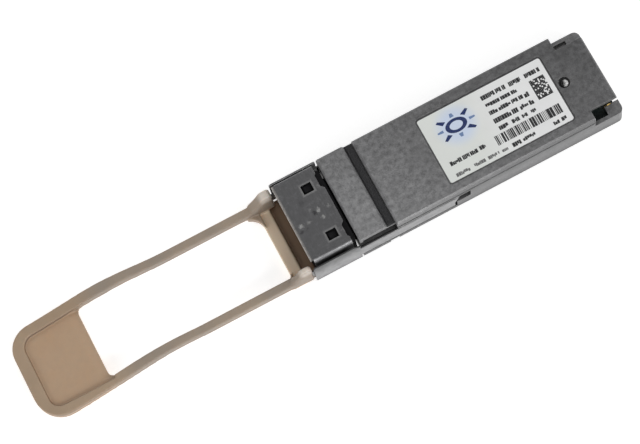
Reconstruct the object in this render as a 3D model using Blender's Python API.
"""Pluggable four-channel optical transceiver module with a pull-tab latch.

Frame: metres, +Z up out of the label face, +X the direction in which the
module is pushed into its cage.  The origin lies on the flat underside, on the
module's mid-plane, where the front edge of the cage comes.

Everything below is written in millimetres along the module, counted from the
front edge of the nose (the "station" x), and shifted to the frame by at().
"""

import bpy
import bmesh
from math import cos, pi, sin
from mathutils import Vector

# ------------------------------------------------------------------ sizes, mm
MM = 0.001
DATUM = 11.9          # nose edge to the cage's front edge
HALF_W = 9.175        # half the body width, 18.35
HEIGHT = 8.5          # body height
X_SHELL = 9.7         # front end of the die-cast shells
X_GROOVE0, X_GROOVE1 = 15.38, 17.22   # gasket groove
X_NOTCH = 58.75       # rear corners are cut back from here
X_END = 64.3          # rear end of the top shell
X_END_LOW = 64.9      # rear end of the bottom shell
Z_PART = 6.2          # top of the bottom shell's walls
GAP = 0.3             # parting gap between pieces
WALL_IN = 7.7         # half the inner width
FLOOR = 0.9           # floor thickness
ROOF = 7.6            # underside of the top plate
BOARD_Z0, BOARD_Z1 = 2.2, 3.2         # paddle card
BOARD_X0, BOARD_X1 = 22.5, 64.1
TONGUE = 8.15         # half the width of the card edge
PITCH, FINGERS, FINGER_W = 0.8, 19, 0.54
AXIS_Z = 4.3          # optical axis height
SHEET = 0.35          # slider and cover sheet thickness
ARM_IN, ARM_OUT = 8.82, 9.17          # slider arm, inner and outer face
ARM_Z0, ARM_Z1 = 1.5, 5.2
POCKET_X0, POCKET_X1 = 26.8, 32.4     # latch pocket
STRIP_LEFT, STRIP_RIGHT = 9.1, 8.6    # half widths of the front strip
LABEL = (29.6, 55.4, -7.1, 6.6)       # label outline x0, x1, y0, y1
SCREW_X = 57.2        # rear closure screw
LOW_SCREW_X, LOW_SCREW_Y = 20.6, 5.3  # front screws, from below
TRAVEL = 2.6          # pull travel of the latch
TAB_Z0, TAB_Z1 = 1.2, 3.4             # pull tab arms
TAB_END = -56.8       # far end of the pull tab
TAB_OUT, TAB_IN = 8.87, 7.25          # half widths outside and inside the arms
PAD_LEFT, PAD_RIGHT = 7.5, 8.2        # half widths of the finger pad
PAD_X = -42.5         # where the finger pad begins

for old in list(bpy.data.objects):
    bpy.data.objects.remove(old, do_unlink=True)

# ------------------------------------------------------------------ materials
FINISHES = {
    # colour, metallic, roughness
    "die_cast_top": ((0.16, 0.16, 0.165), 0.7, 0.5),
    "die_cast_bottom": ((0.42, 0.42, 0.43), 0.8, 0.42),
    "sheet_steel": ((0.30, 0.30, 0.31), 0.9, 0.3),
    "slider_steel": ((0.45, 0.45, 0.46), 0.9, 0.35),
    "tab_elastomer": ((0.44, 0.33, 0.23), 0.0, 0.55),
    "gasket": ((0.03, 0.03, 0.03), 0.0, 0.8),
    "label_film": ((0.72, 0.73, 0.72), 0.0, 0.45),
    "port_plastic": ((0.02, 0.02, 0.022), 0.0, 0.5),
    "ferrule_resin": ((0.05, 0.05, 0.055), 0.0, 0.35),
    "pin_steel": ((0.65, 0.65, 0.66), 1.0, 0.15),
    "ribbon": ((0.1, 0.45, 0.5), 0.0, 0.4),
    "lens_resin": ((0.55, 0.38, 0.12), 0.0, 0.1),
    "silicon": ((0.12, 0.12, 0.16), 0.3, 0.2),
    "chip_resin": ((0.03, 0.03, 0.03), 0.0, 0.5),
    "board": ((0.02, 0.12, 0.05), 0.0, 0.4),
    "gold": ((0.85, 0.62, 0.2), 1.0, 0.25),
    "thermal_silicone": ((0.35, 0.4, 0.5), 0.0, 0.8),
    "screw_steel": ((0.6, 0.6, 0.6), 1.0, 0.25),
    "spring_steel": ((0.5, 0.5, 0.5), 1.0, 0.3),
    "ceramic": ((0.35, 0.25, 0.18), 0.0, 0.5),
    "ferrite": ((0.09, 0.09, 0.09), 0.0, 0.6),
}


def finish(name, key):
    colour, metallic, roughness = FINISHES[key]
    m = bpy.data.materials.new(name)
    m.use_nodes = True
    shader = m.node_tree.nodes["Principled BSDF"]
    shader.inputs["Base Color"].default_value = (*colour, 1.0)
    shader.inputs["Metallic"].default_value = metallic
    shader.inputs["Roughness"].default_value = roughness
    m.diffuse_color = (*colour, 1.0)
    return m


def at(x, y, z):
    """Station x, y and z in millimetres to the frame in metres."""
    return Vector(((x - DATUM) * MM, y * MM, z * MM))


def solid(name, points, faces):
    """An object from frame points; faces are turned outwards."""
    mesh = bpy.data.meshes.new(name)
    mesh.from_pydata(points, [], faces)
    bm = bmesh.new()
    bm.from_mesh(mesh)
    bmesh.ops.recalc_face_normals(bm, faces=bm.faces)
    bm.to_mesh(mesh)
    bm.free()
    obj = bpy.data.objects.new(name, mesh)
    bpy.context.scene.collection.objects.link(obj)
    return obj


def prism(name, outline, axis, low, high):
    """A closed outline pushed along one axis: X takes (y, z), Y (x, z), Z (x, y)."""
    def place(p, d):
        if axis == "X":
            return at(d, p[0], p[1])
        if axis == "Y":
            return at(p[0], d, p[1])
        return at(p[0], p[1], d)

    n = len(outline)
    points = [place(p, low) for p in outline] + [place(p, high) for p in outline]
    faces = [tuple(range(n)), tuple(range(n, 2 * n))]
    faces += [(i, (i + 1) % n, n + (i + 1) % n, n + i) for i in range(n)]
    return solid(name, points, faces)


def block(name, x0, x1, y0, y1, z0, z1):
    return prism(name, [(x0, y0), (x1, y0), (x1, y1), (x0, y1)], "Z", z0, z1)


def tool(*box):
    return block("tool", *box)


def rod(name, axis, a, b, radius, low, high, sides=24):
    """A cylinder along one axis; a and b are its centre on the other two."""
    ring = [(a + radius * cos(2 * pi * (k + 0.5) / sides),
             b + radius * sin(2 * pi * (k + 0.5) / sides)) for k in range(sides)]
    return prism(name, ring, axis, low, high)


def arc(cx, cy, r, from_deg, to_deg, steps):
    return [(cx + r * cos(pi / 180 * (from_deg + (to_deg - from_deg) * k / steps)),
             cy + r * sin(pi / 180 * (from_deg + (to_deg - from_deg) * k / steps)))
            for k in range(steps + 1)]


def round_rect(x0, x1, y0, y1, r, steps=4):
    return (arc(x1 - r, y1 - r, r, 0, 90, steps) + arc(x0 + r, y1 - r, r, 90, 180, steps)
            + arc(x0 + r, y0 + r, r, 180, 270, steps) + arc(x1 - r, y0 + r, r, 270, 360, steps))


def boolean(target, operation, tools):
    for other in tools:
        step = target.modifiers.new("step", "BOOLEAN")
        step.operation = operation
        step.solver = "EXACT"
        step.object = other
        graph = bpy.context.evaluated_depsgraph_get()
        made = bpy.data.meshes.new_from_object(target.evaluated_get(graph))
        target.modifiers.clear()
        before = target.data
        target.data = made
        bpy.data.meshes.remove(before)
        bpy.data.objects.remove(other, do_unlink=True)
    return target


def cut(target, *tools):
    return boolean(target, "DIFFERENCE", tools)


def join(target, *tools):
    return boolean(target, "UNION", tools)


def both(make):
    """The same piece of geometry on the +Y and the -Y side."""
    return [make(1), make(-1)]


def side_box(s, x0, x1, y0, y1, z0, z1):
    return tool(x0, x1, min(s * y0, s * y1), max(s * y0, s * y1), z0, z1)


# ------------------------------------------------------------ parenting frames
module_frame = bpy.data.objects.new("module_frame", None)
slide_frame = bpy.data.objects.new("slide_frame", None)   # on the slide axis, X
slide_frame.parent = module_frame
for empty in (module_frame, slide_frame):
    bpy.context.scene.collection.objects.link(empty)


def place(obj, key, frame=module_frame, smooth=False):
    """Name the material, centre the origin on the piece and hang it on its frame."""
    mesh = obj.data
    mesh.name = obj.name
    mesh.materials.clear()
    mesh.materials.append(finish(obj.name + "_finish", key))
    low = Vector([min(v.co[i] for v in mesh.vertices) for i in range(3)])
    high = Vector([max(v.co[i] for v in mesh.vertices) for i in range(3)])
    centre = (low + high) / 2
    for v in mesh.vertices:
        v.co -= centre
    obj.location = centre
    obj.parent = frame
    if smooth:
        mesh.shade_smooth()
        mesh.set_sharp_from_angle(angle=0.7)
    return obj


# ------------------------------------------------------------------- top shell
top = block("top_shell", X_SHELL, X_END, -HALF_W, HALF_W, Z_PART + GAP, HEIGHT)
cut(top, tool(18.6, 66, -WALL_IN, WALL_IN, 5, ROOF))            # hollow, open at the rear
cut(top, tool(X_NOTCH, 66, 6.35, 10, 5, 10), tool(X_NOTCH, 66, -10, -7.1, 5, 10))     # rear corners
cut(top, tool(9, X_GROOVE1, -10, -STRIP_RIGHT, 5, 10), tool(9, X_GROOVE1, STRIP_LEFT, 10, 5, 10))   # front strip, set back on its right
cut(top, *both(lambda s: side_box(s, 10.3, X_GROOVE1 + 0.02, 7.9, 10, 5, 7.3)))  # slot under the strip's edges
cut(top, tool(X_GROOVE0, X_GROOVE1, -10, 10, 7.7, 10))         # gasket groove
EDGE = 0.38
for x, s in ((X_SHELL, 1), (X_GROOVE0, -1), (X_GROOVE1, 1)):
    cut(top, prism("tool", [(x - s * 0.2, HEIGHT - EDGE - 0.2), (x + s * (EDGE + 0.2), HEIGHT + 0.2),
                            (x - s * 0.2, HEIGHT + 0.2)], "Y", -10, 10))
RIM = 0.3
cut(top, *both(lambda s: prism("tool", [(s * (HALF_W + 0.2), HEIGHT - RIM - 0.2), (s * (HALF_W + 0.2), HEIGHT + 0.2),
                                        (s * (HALF_W - RIM - 0.2), HEIGHT + 0.2)], "X", 17.0, 66)))
cut(top, prism("tool", [(X_END + 0.2, HEIGHT - 0.5), (X_END + 0.2, HEIGHT + 0.2), (X_END - 0.5, HEIGHT + 0.2)], "Y", -10, 10))
lx0, lx1, ly0, ly1 = LABEL
cut(top, prism("tool", round_rect(lx0 - 0.35, lx1 + 0.35, ly0 - 0.35, ly1 + 0.35, 0.75), "Z", HEIGHT - 0.2, 10))
join(top, tool(35.5, 43.2, -3.8, 3.8, 4.95, ROOF + 0.3))        # pedestal over the retimer
join(top, *both(lambda s: side_box(s, 46.0, 54.0, 6.6, 7.3, 3.5, ROOF + 0.3)))   # ribs that hold the card down
join(top, *both(lambda s: rod("tool", "Z", LOW_SCREW_X, s * LOW_SCREW_Y, 1.25, FLOOR + GAP, ROOF + 0.3, 20)))
cut(top, *both(lambda s: rod("tool", "Z", LOW_SCREW_X, s * LOW_SCREW_Y, 0.62, 0, 5.4, 16)))
cut(top, rod("tool", "Z", SCREW_X, 0, 0.75, 5, 10, 20))
cut(top, rod("tool", "Z", SCREW_X, 0, 1.12, 7.85, 10, 24))
place(top, "die_cast_top")

# ---------------------------------------------------------------- bottom shell
bottom = block("bottom_shell", X_SHELL, X_END_LOW, -HALF_W, HALF_W, 0, Z_PART)
cut(bottom, tool(18.6, 59.0, -6.9, 6.9, FLOOR, 10))             # main hollow
cut(bottom, tool(18.6, 59.0, -WALL_IN, WALL_IN, BOARD_Z0 - GAP, 10))   # above the card ledges
cut(bottom, tool(X_NOTCH, 66, -10, 10, 4.7, 10))                # low rear walls
cut(bottom, tool(X_NOTCH, 61.9, -8.4, 8.4, BOARD_Z0 - GAP, 10))
cut(bottom, tool(59.0, 66, -8.4, 8.4, -1, BOARD_Z1 + GAP))      # open underside behind the floor
cut(bottom, tool(61.2, 63.6, -6.75, 6.75, 2, 10), tool(61.2, 66, -6.55, 6.55, 2, 10))
CORNER_R = 1.2
cut(bottom, *both(lambda s: prism("tool", [(X_END_LOW - CORNER_R, s * 9.4), (X_END_LOW + 0.3, s * 9.4), (X_END_LOW + 0.3, s * 7.9)]
                                  + [(x, s * y) for x, y in arc(X_END_LOW - CORNER_R, HALF_W - CORNER_R, CORNER_R, -2, 90, 6)],
                                  "Z", -1, 6)))
cut(bottom, tool(X_SHELL - 1, 19.0, -6.3, 6.3, 1.3, 10))        # channel for the port's tail
cut(bottom, tool(12.0, 13.4, -6.25, 6.25, 0.6, 2))              # slot for its key
cut(bottom, *both(lambda s: side_box(s, X_SHELL - 1, 29.5, 8.62, 10, 1.2, 5.5)))     # slider recess
cut(bottom, *both(lambda s: side_box(s, POCKET_X0, POCKET_X1, 8.12, 10, 3.1, 5.6)))  # latch pocket
cut(bottom, *both(lambda s: side_box(s, 10.6, 18.0, 6.9, 9.0, 2.3, 4.5)))            # return spring channel
cut(bottom, *both(lambda s: side_box(s, X_SHELL - 1, X_GROOVE1, 7.9, 10, 4.9, 7)))   # open slot beside the front strip
cut(bottom, tool(X_GROOVE0, X_GROOVE1, -10, 10, -1, 0.7))       # gasket groove
join(bottom, rod("tool", "Z", SCREW_X, 0, 1.5, FLOOR - 0.3, Z_PART + 1.0, 24))
cut(bottom, rod("tool", "Z", SCREW_X, 0, 0.75, 2.8, 10, 20))
cut(bottom, *both(lambda s: rod("tool", "Z", LOW_SCREW_X, s * LOW_SCREW_Y, 0.7, -1, 2, 16)))
cut(bottom, *both(lambda s: rod("tool", "Z", LOW_SCREW_X, s * LOW_SCREW_Y, 1.15, -1, 0.5, 20)))
FOOT = 0.15
cut(bottom, *both(lambda s: prism("tool", [(s * (HALF_W + 0.2), FOOT + 0.2), (s * (HALF_W + 0.2), -0.2),
                                           (s * (HALF_W - FOOT - 0.2), -0.2)], "X", 9, 66)))
place(bottom, "die_cast_bottom")

# -------------------------------------------------------------------- gaskets
place(block("emi_gasket_top", X_GROOVE0 + 0.2, X_GROOVE1 - 0.2, -8.5, 8.95, 7.75, 8.12), "gasket")
place(block("emi_gasket_bottom", X_GROOVE0 + 0.25, X_GROOVE1 - 0.25, -8.4, 8.4, 0.12, 0.62), "gasket")


# --------------------------------------------------------------------- screws
def countersunk(name, x, y, head_z, point_z, head_r, shank_r):
    """A flat-head screw turned round Z, its head at head_z, with a cross recess."""
    s = 1 if head_z > point_z else -1
    profile = [(head_r, 0), (head_r, 0.16), (shank_r, 0.42), (shank_r, abs(head_z - point_z) - 0.3),
               (shank_r * 0.5, abs(head_z - point_z))]
    sides = 20
    points, faces = [], []
    for r, d in profile:
        points += [at(x + r * cos(2 * pi * k / sides), y + r * sin(2 * pi * k / sides), head_z - s * d)
                   for k in range(sides)]
    for ring in range(len(profile) - 1):
        for k in range(sides):
            a, b = ring * sides + k, ring * sides + (k + 1) % sides
            faces.append((a, b, b + sides, a + sides))
    faces += [tuple(range(sides)), tuple(range((len(profile) - 1) * sides, len(profile) * sides))]
    screw = solid(name, points, faces)
    slot, deep = head_r * 0.62, 0.22
    z0, z1 = sorted((head_z - s * deep, head_z + s * 0.3))
    cross = prism("tool", [(x + a * slot, y + b * slot) for a, b in
                           ((-1, -.25), (-.25, -.25), (-.25, -1), (.25, -1), (.25, -.25), (1, -.25),
                            (1, .25), (.25, .25), (.25, 1), (-.25, 1), (-.25, .25), (-1, .25))], "Z", z0, z1)
    cut(screw, cross)
    return place(screw, "screw_steel", smooth=True)


countersunk("closure_screw", SCREW_X, 0, 8.16, 3.4, 0.95, 0.5)
countersunk("front_screw_left", LOW_SCREW_X, LOW_SCREW_Y, 0.06, 4.9, 0.95, 0.42)
countersunk("front_screw_right", LOW_SCREW_X, -LOW_SCREW_Y, 0.06, 4.9, 0.95, 0.42)

# ------------------------------------------------------- sheet cover on the nose
BEND_LEFT, BEND_RIGHT = 0.45, 0.85
COVER_LEFT, COVER_RIGHT, COVER_TOP, FLANGE_Z = 8.74, 8.25, 8.45, 5.6


def cover_profile():
    """Channel section of the cover in y, z: outer skin one way, inner skin back."""
    l, r = BEND_LEFT, BEND_RIGHT
    outer = [(-COVER_RIGHT, FLANGE_Z)] + arc(-COVER_RIGHT + r, COVER_TOP - r, r, 180, 90, 5)
    outer += arc(COVER_LEFT - l, COVER_TOP - l, l, 90, 0, 4) + [(COVER_LEFT, FLANGE_Z)]
    inner = [(COVER_LEFT - SHEET, FLANGE_Z)] + arc(COVER_LEFT - l, COVER_TOP - l, l - SHEET, 0, 90, 4)
    inner += arc(-COVER_RIGHT + r, COVER_TOP - r, r - SHEET, 90, 180, 5) + [(-COVER_RIGHT + SHEET, FLANGE_Z)]
    return outer + inner


cover = prism("receptacle_cover", cover_profile(), "X", 0.0, 8.85)
cut(cover, *both(lambda s: side_box(s, 4.85, 6.95, 4.1, 5.95, 7, 9)))           # snap windows
cut(cover, *both(lambda s: prism("tool", [(8.9, s * 3.6), (8.2, s * 4.3), (8.2, s * 6.6), (8.5, s * 6.9),
                                          (8.5, s * 9), (9.2, s * 9), (9.2, s * 3.6)], "Z", 5, 9)))
ROLL = 0.3                                                                     # rolled front lip
lip = [(0.0, 7.7), (0.0, COVER_TOP - ROLL)] + arc(ROLL, COVER_TOP - ROLL, ROLL, 180, 90, 4)[1:] \
    + [(0.9, COVER_TOP), (0.9, COVER_TOP - SHEET), (SHEET, COVER_TOP - SHEET), (SHEET, 7.7)]
cut(cover, tool(-0.5, 0.6, -10, 10, 5, 9))
join(cover, prism("tool", lip, "Y", -COVER_RIGHT + 0.55, COVER_LEFT - 0.3))
place(cover, "sheet_steel")

# --------------------------------------------------------- optical receptacle
port = block("mpo_receptacle", 0.5, 9.3, -7.5, 7.5, 0.75, 7.85)
join(port, tool(9.0, 18.0, -6.0, 6.0, 1.6, 6.2))
cut(port, tool(-1, 8.2, -6.5, 6.5, 1.25, 7.35))                 # plug cavity
join(port, tool(12.2, 13.2, -5.9, 5.9, 0.9, 2.0))               # key under the tail
cut(port, tool(7, 19, -3.45, 3.45, 2.8, 5.8))                   # ferrule bore
cut(port, tool(14.0, 19, -4.3, 4.3, 2.45, 7))                   # flange pocket
cut(port, *both(lambda s: prism("tool", [(0.3, s * 6.85), (0.3, s * 7.7), (1.15, s * 7.7)], "Z", 0, 9)),
    prism("tool", [(0.3, 7.45), (0.3, 8.05), (0.9, 8.05)], "Y", -8, 8))        # bevelled front edges
join(port, *both(lambda s: prism("tool", [(8.6, s * 5.0), (4.7, s * 5.0), (4.3, s * 4.5), (3.6, s * 5.1),
                                          (3.6, s * 5.75), (8.6, s * 5.75)], "Z", 3.2, 5.4)))   # latch hooks
join(port, *both(lambda s: prism("tool", [(5.15, 7.7), (5.15, 8.15), (5.4, 8.2), (6.7, 7.9), (6.7, 7.7)],
                                 "Y", *sorted((s * 4.45, s * 5.65)))))                          # snap lugs
cut(port, prism("tool", [(6.1, 7.3), (6.55, 8.2), (7.2, 8.2), (7.2, 7.3)], "Y", -0.8, 0.8))     # key slot in the roof
place(port, "port_plastic")

# ------------------------------------------------ ferrule, pins, keeper, ribbon
ferrule = block("mt_ferrule", 6.6, 14.4, -3.2, 3.2, AXIS_Z - 1.25, AXIS_Z + 1.25)
join(ferrule, tool(14.3, 16.3, -3.9, 3.9, AXIS_Z - 1.5, AXIS_Z + 1.5))
cut(ferrule, *both(lambda s: rod("tool", "X", s * 2.3, AXIS_Z, 0.46, 5, 18, 16)))
cut(ferrule, tool(10.0, 12.2, -1.6, 1.6, AXIS_Z + 0.4, 7))       # glue window
place(ferrule, "ferrule_resin")
for side, s in (("left", 1), ("right", -1)):
    pin = rod("guide_pin_" + side, "X", s * 2.3, AXIS_Z, 0.35, 4.6, 17.2, 14)
    place(pin, "pin_steel", smooth=True)
keeper = block("pin_keeper", 16.6, 17.4, -3.4, 3.4, AXIS_Z - 1.3, AXIS_Z + 1.3)
cut(keeper, tool(16, 18, -1.6, 1.6, AXIS_Z - 0.4, AXIS_Z + 0.4))
cut(keeper, *both(lambda s: rod("tool", "X", s * 2.3, AXIS_Z, 0.46, 16, 18, 16)))
place(keeper, "pin_steel")


def ribbon_height(x):
    """The ribbon rises in a soft arch from the ferrule to the lens block."""
    t = (x - 16.35) / (27.5 - 16.35)
    ease = t * t * (3 - 2 * t)
    return AXIS_Z + 0.15 * ease + 0.75 * sin(pi * t) ** 2


steps = 18
xs = [16.35 + (27.5 - 16.35) * k / steps for k in range(steps + 1)]
strip = [(x, ribbon_height(x) + 0.13) for x in xs] + [(x, ribbon_height(x) - 0.13) for x in reversed(xs)]
place(prism("fibre_ribbon", strip, "Y", -1.5, 1.5), "ribbon")

# ----------------------------------------------------------------- paddle card
LIFT = 0.05            # solder line under the parts on the card
card = prism("circuit_board", [(BOARD_X0, -7.4), (58.8, -7.4), (58.8, -TONGUE), (63.6, -TONGUE), (BOARD_X1, -TONGUE + 0.5),
                               (BOARD_X1, TONGUE - 0.5), (63.6, TONGUE), (58.8, TONGUE), (58.8, 7.4), (BOARD_X0, 7.4)],
             "Z", BOARD_Z0, BOARD_Z1)
cut(card, rod("tool", "Z", SCREW_X, 0, 1.8, 0, 5, 24))
place(card, "board")


def finger_outline(x_bus, x_pad, x_tip):
    """Comb of contact pads at one pitch, joined by their plating bar."""
    half = (FINGERS - 1) / 2 * PITCH + FINGER_W / 2
    points = [(x_bus, half), (x_bus, -half)]
    for k in range(FINGERS):
        y = (k - (FINGERS - 1) / 2) * PITCH
        tip = x_tip if k % 3 else x_tip + 0.3
        points += [(x_pad, y - FINGER_W / 2), (tip, y - FINGER_W / 2), (tip, y + FINGER_W / 2), (x_pad, y + FINGER_W / 2)]
    clean = [points[0], points[1]] + points[3:-1]
    return clean


pads = finger_outline(61.95, 62.1, 63.6)
place(prism("contact_fingers_top", pads, "Z", BOARD_Z1 + LIFT, BOARD_Z1 + LIFT + 0.06), "gold")
place(prism("contact_fingers_bottom", pads, "Z", BOARD_Z0 - LIFT - 0.06, BOARD_Z0 - LIFT), "gold")


def on_top(name, x0, x1, y0, y1, tall, key):
    return place(block(name, x0, x1, y0, y1, BOARD_Z1 + LIFT, BOARD_Z1 + LIFT + tall), key)


on_top("laser_driver_chip", 24.2, 26.6, 0.6, 3.0, 0.45, "silicon")
on_top("receiver_amplifier_chip", 24.2, 26.6, -3.0, -0.6, 0.45, "silicon")
on_top("laser_array", 29.0, 29.4, 0.35, 1.65, 0.16, "silicon")
on_top("photodiode_array", 29.0, 29.4, -1.65, -0.35, 0.16, "silicon")
lens = block("lens_block", 27.8, 32.4, -2.9, 2.9, BOARD_Z1 + LIFT, 5.2)
cut(lens, tool(28.3, 30.4, -2.3, 2.3, 2, 3.9))                   # chamber over the arrays
cut(lens, prism("tool", [(29.0, 5.5), (30.1, 4.4), (31.2, 5.5)], "Y", -2.2, 2.2))   # turning mirror groove
place(lens, "lens_resin")
on_top("retimer_chip", 36.0, 42.6, -3.3, 3.3, 0.95, "chip_resin")
place(block("thermal_pad_top", 36.2, 42.4, -3.1, 3.1, 4.28, 4.87), "thermal_silicone")
on_top("microcontroller", 46.4, 50.4, -2.0, 2.0, 0.85, "chip_resin")
for number, (x, y) in enumerate(((34.0, 5.4), (34.0, -5.4), (44.5, 5.2), (44.5, -5.2), (52.6, 3.6), (52.6, -3.6)), 1):
    on_top("capacitor_%d" % number, x - 0.8, x + 0.8, y - 0.4, y + 0.4, 0.8, "ceramic")
place(block("power_inductor", 50.0, 52.6, -1.3, 1.3, 1.15, BOARD_Z0 - LIFT), "ferrite")
place(block("thermal_pad_bottom", 35.5, 43.0, -3.8, 3.8, FLOOR + 0.1, BOARD_Z0 - 0.1), "thermal_silicone")

# ---------------------------------------------------------------------- label
place(prism("label", round_rect(lx0, lx1, ly0, ly1, 0.42), "Z", HEIGHT - 0.15, HEIGHT - 0.04), "label_film")

# --------------------------------------------------------------- latch slider
TONGUE_IN = 8.3        # inner face of the tongues that the tab is moulded round
CHEEK_LEFT, CHEEK_RIGHT = 8.35, 7.3     # tops of the cheeks beside the nose
slider = tool(-0.2, 9.4, ARM_IN, ARM_OUT, 0.0, CHEEK_LEFT)
slider.name = "latch_slider"
join(slider, tool(-0.2, 9.4, -ARM_OUT, -ARM_IN, 0.0, CHEEK_RIGHT))       # kept apart until the bridge joins them
join(slider, tool(0.9, 7.6, -ARM_OUT, ARM_OUT, 0.0, SHEET))       # bridge under the port
join(slider, *both(lambda s: side_box(s, -0.2, 0.2, TONGUE_IN, ARM_OUT, 1.6, 4.5)))       # jog inwards
join(slider, *both(lambda s: side_box(s, -3.3, 0.2, TONGUE_IN, TONGUE_IN + SHEET, 1.6, 4.5)))   # tongues into the tab
join(slider, *both(lambda s: side_box(s, 9.0, 29.1, ARM_IN, ARM_OUT, ARM_Z0, ARM_Z1)))    # long arms
join(slider, *both(lambda s: prism("tool", [(28.9, s * ARM_IN), (28.9, s * ARM_OUT), (29.2, s * ARM_OUT),
                                            (30.3, s * 8.72), (30.3, s * 8.36), (29.1, s * ARM_IN)], "Z", 3.4, 5.2)))
join(slider, *both(lambda s: side_box(s, 17.35, 17.7, 7.2, 9.0, 2.6, 4.2)))               # spring lugs
for s, z, clip in ((1, CHEEK_LEFT, 0.35), (-1, CHEEK_RIGHT, 1.2)):       # clipped upper corners
    cut(slider, prism("tool", [(9.2 - clip, z + 0.2), (9.6, z + 0.2), (9.6, z - clip)], "Y", *sorted((s * 8.5, s * 9.5))),
        prism("tool", [(-0.4, z - 0.6), (-0.4, z + 0.2), (0.4, z + 0.2)], "Y", *sorted((s * 8.5, s * 9.5))))
place(slider, "slider_steel", frame=slide_frame)


# ------------------------------------------------------------- return springs
def coil(name, y, z, x0, x1, radius, wire):
    """Compression spring along X with one closed turn at each end."""
    turns, per_turn, sides = 7, 14, 6
    dead = wire * 2 * 1.2
    live = (x1 - x0 - 2 * wire - 2 * dead) / (turns - 2)
    total = turns * per_turn

    def advance(t):
        if t < 1:
            return dead * t
        if t < turns - 1:
            return dead + live * (t - 1)
        return dead + live * (turns - 2) + dead * (t - turns + 1)

    rings, points, faces = [], [], []
    for k in range(total + 1):
        t = k / per_turn
        centre = Vector((x0 + wire + advance(t), y + radius * cos(2 * pi * t), z + radius * sin(2 * pi * t)))
        radial = Vector((0, cos(2 * pi * t), sin(2 * pi * t)))
        slope = live if 1 <= t <= turns - 1 else dead
        tangent = Vector((slope, -2 * pi * radius * sin(2 * pi * t), 2 * pi * radius * cos(2 * pi * t))).normalized()
        other = tangent.cross(radial)
        for j in range(sides):
            a = 2 * pi * j / sides
            p = centre + (radial * cos(a) + other * sin(a)) * wire
            points.append(at(p.x, p.y, p.z))
    for k in range(total):
        for j in range(sides):
            a, b = k * sides + j, k * sides + (j + 1) % sides
            faces.append((a, b, b + sides, a + sides))
    faces += [tuple(range(sides)), tuple(range(total * sides, (total + 1) * sides))]
    return place(solid(name, points, faces), "spring_steel", smooth=True)


coil("return_spring_left", 7.78, 3.4, 10.85, 17.05, 0.56, 0.13)
coil("return_spring_right", -7.78, 3.4, 10.85, 17.05, 0.56, 0.13)


# ------------------------------------------------------------------- pull tab
def sway(x):
    """The soft tab lies flexed a little to one side, as it does at rest."""
    def ease(a, b):
        t = min(max((a - x) / (a - b), 0.0), 1.0)
        return t * t * (3 - 2 * t)

    return 0.2 * ease(-22, -31) - 1.43 * ease(-31, -57)


def run(x0, x1, y0, y1, steps):
    """A straight stretch in small steps, so that it can follow the sway."""
    return [(x0 + (x1 - x0) * k / steps, y0 + (y1 - y0) * k / steps) for k in range(steps)]


def swayed(points):
    return [(x, y + sway(x)) for x, y in points]


def outer_edge(flare, corner):
    """Outside of one arm and half the far end, for a half width that flares towards the pad."""
    w = TAB_OUT + flare
    return run(-0.5, -25, TAB_OUT, TAB_OUT, 12) \
        + [(x, TAB_OUT + flare * sin(pi / 2 * (-25 - x) / 16) ** 2) for x in (-25 - 16 * k / 12 for k in range(12))] \
        + run(-41, TAB_END + corner, w, w, 5) \
        + arc(TAB_END + corner, w - corner, corner, 90, 180, 8)


outline = outer_edge(0.7, 4.7) + [(x, -y) for x, y in reversed(outer_edge(0.5, 5.5))]
INNER = 1.4
half_window = run(1.0, -28, TAB_IN, TAB_IN, 14) + run(-28, PAD_X + INNER, TAB_IN, TAB_IN + 0.3, 7) \
    + arc(PAD_X + INNER, TAB_IN + 0.3 - INNER, INNER, 90, 180, 4)
window = half_window + [(x, -y) for x, y in reversed(half_window)]
tab = prism("pull_tab", swayed(outline), "Z", TAB_Z0, TAB_Z1)
cut(tab, prism("tool", swayed(window), "Z", 0, 5))
RIM_W, PAD_R = 2.4, 2.4


def pad_edge(w, closing):
    return run(PAD_X + 0.9, TAB_END + RIM_W + PAD_R, w, w - closing, 5) \
        + arc(TAB_END + RIM_W + PAD_R, w - closing - PAD_R, PAD_R, 90, 180, 6)


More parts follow.
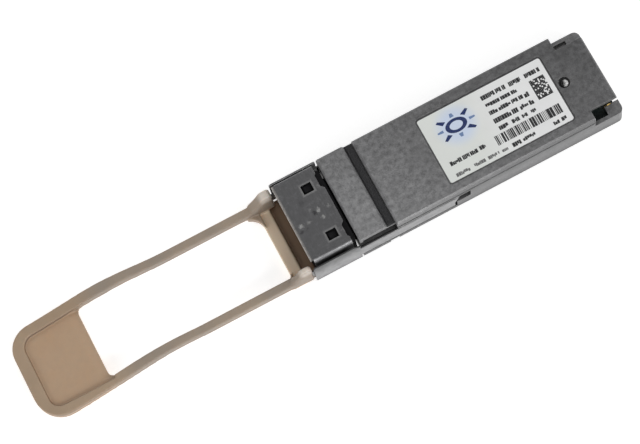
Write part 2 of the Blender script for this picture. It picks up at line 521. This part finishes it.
pad = pad_edge(PAD_LEFT, 0.0) + [(x, -y) for x, y in reversed(pad_edge(PAD_RIGHT, 0.8))]
cut(tab, prism("tool", swayed(pad), "Z", 2.75, 5))               # thin finger pad inside a raised rim
cut(tab, prism("tool", swayed(pad), "Z", 0, 1.85))
cut(tab, prism("tool", [(PAD_X - 2.0, 2.78), (PAD_X + 0.3, 2.28), (PAD_X + 0.3, 3.0)], "Y",
               -TAB_IN - 0.1 + sway(PAD_X), TAB_IN + 0.1 + sway(PAD_X)))                # the pad thins towards the window
POST = [(-0.5, 0.9), (-0.5, 6.5)] + arc(-1.3, 6.2, 0.8, 20, 100, 4) + arc(-2.0, 5.9, 1.0, 100, 150, 3) \
    + [(-3.5, 5.3), (-4.5, 4.1), (-5.4, TAB_Z1 - 0.05), (-5.4, TAB_Z0 + 0.05), (-5.0, 0.9)]


def knob(rings):
    """A post as sections across the tab, drawn in towards its two sides; rings are (y, scale)."""
    n = len(POST)
    points = [at(-2.0 + (x + 2.0) * k, y, 2.6 + (z - 2.6) * k) for y, k in rings for x, z in POST]
    faces = [tuple(range(n)), tuple(range(n * (len(rings) - 1), n * len(rings)))]
    for r in range(len(rings) - 1):
        faces += [(r * n + i, r * n + (i + 1) % n, (r + 1) * n + (i + 1) % n, (r + 1) * n + i) for i in range(n)]
    return solid("tool", points, faces)


join(tab, knob(((7.1, 0.72), (7.25, 0.88), (7.6, 1.0), (9.0, 1.0), (9.3, 0.86), (9.4, 0.7))),
     knob(((-9.1, 0.7), (-9.0, 0.86), (-8.7, 1.0), (-8.0, 1.0), (-7.65, 0.88), (-7.5, 0.72))))    # posts round the slider's tongues
BAR_X = -4.25
join(tab, tool(BAR_X, -1.9, -8.6, 8.6, 0.1, 1.25))                # bar below the port
join(tab, tool(-2.2, 0.6, -8.0, 8.0, 0.1, 0.45))                 # apron that runs on under the port
for s, gusset in ((1, 3.2), (-1, 1.3)):
    join(tab, prism("tool", [(BAR_X + 0.3, s * 7.35), (BAR_X + 0.3, s * (7.35 - gusset))]
                    + [(x, s * y) for x, y in arc(BAR_X - gusset, 7.35 - gusset, gusset, 2, 88, 6)], "Z", 0.15, 2.0))
cut(tab, *both(lambda s: side_box(s, -3.6, 0.0, TONGUE_IN - 0.2, TONGUE_IN + SHEET + 0.2, 1.4, 4.7)))   # slots for the tongues
place(tab, "tab_elastomer", frame=slide_frame)
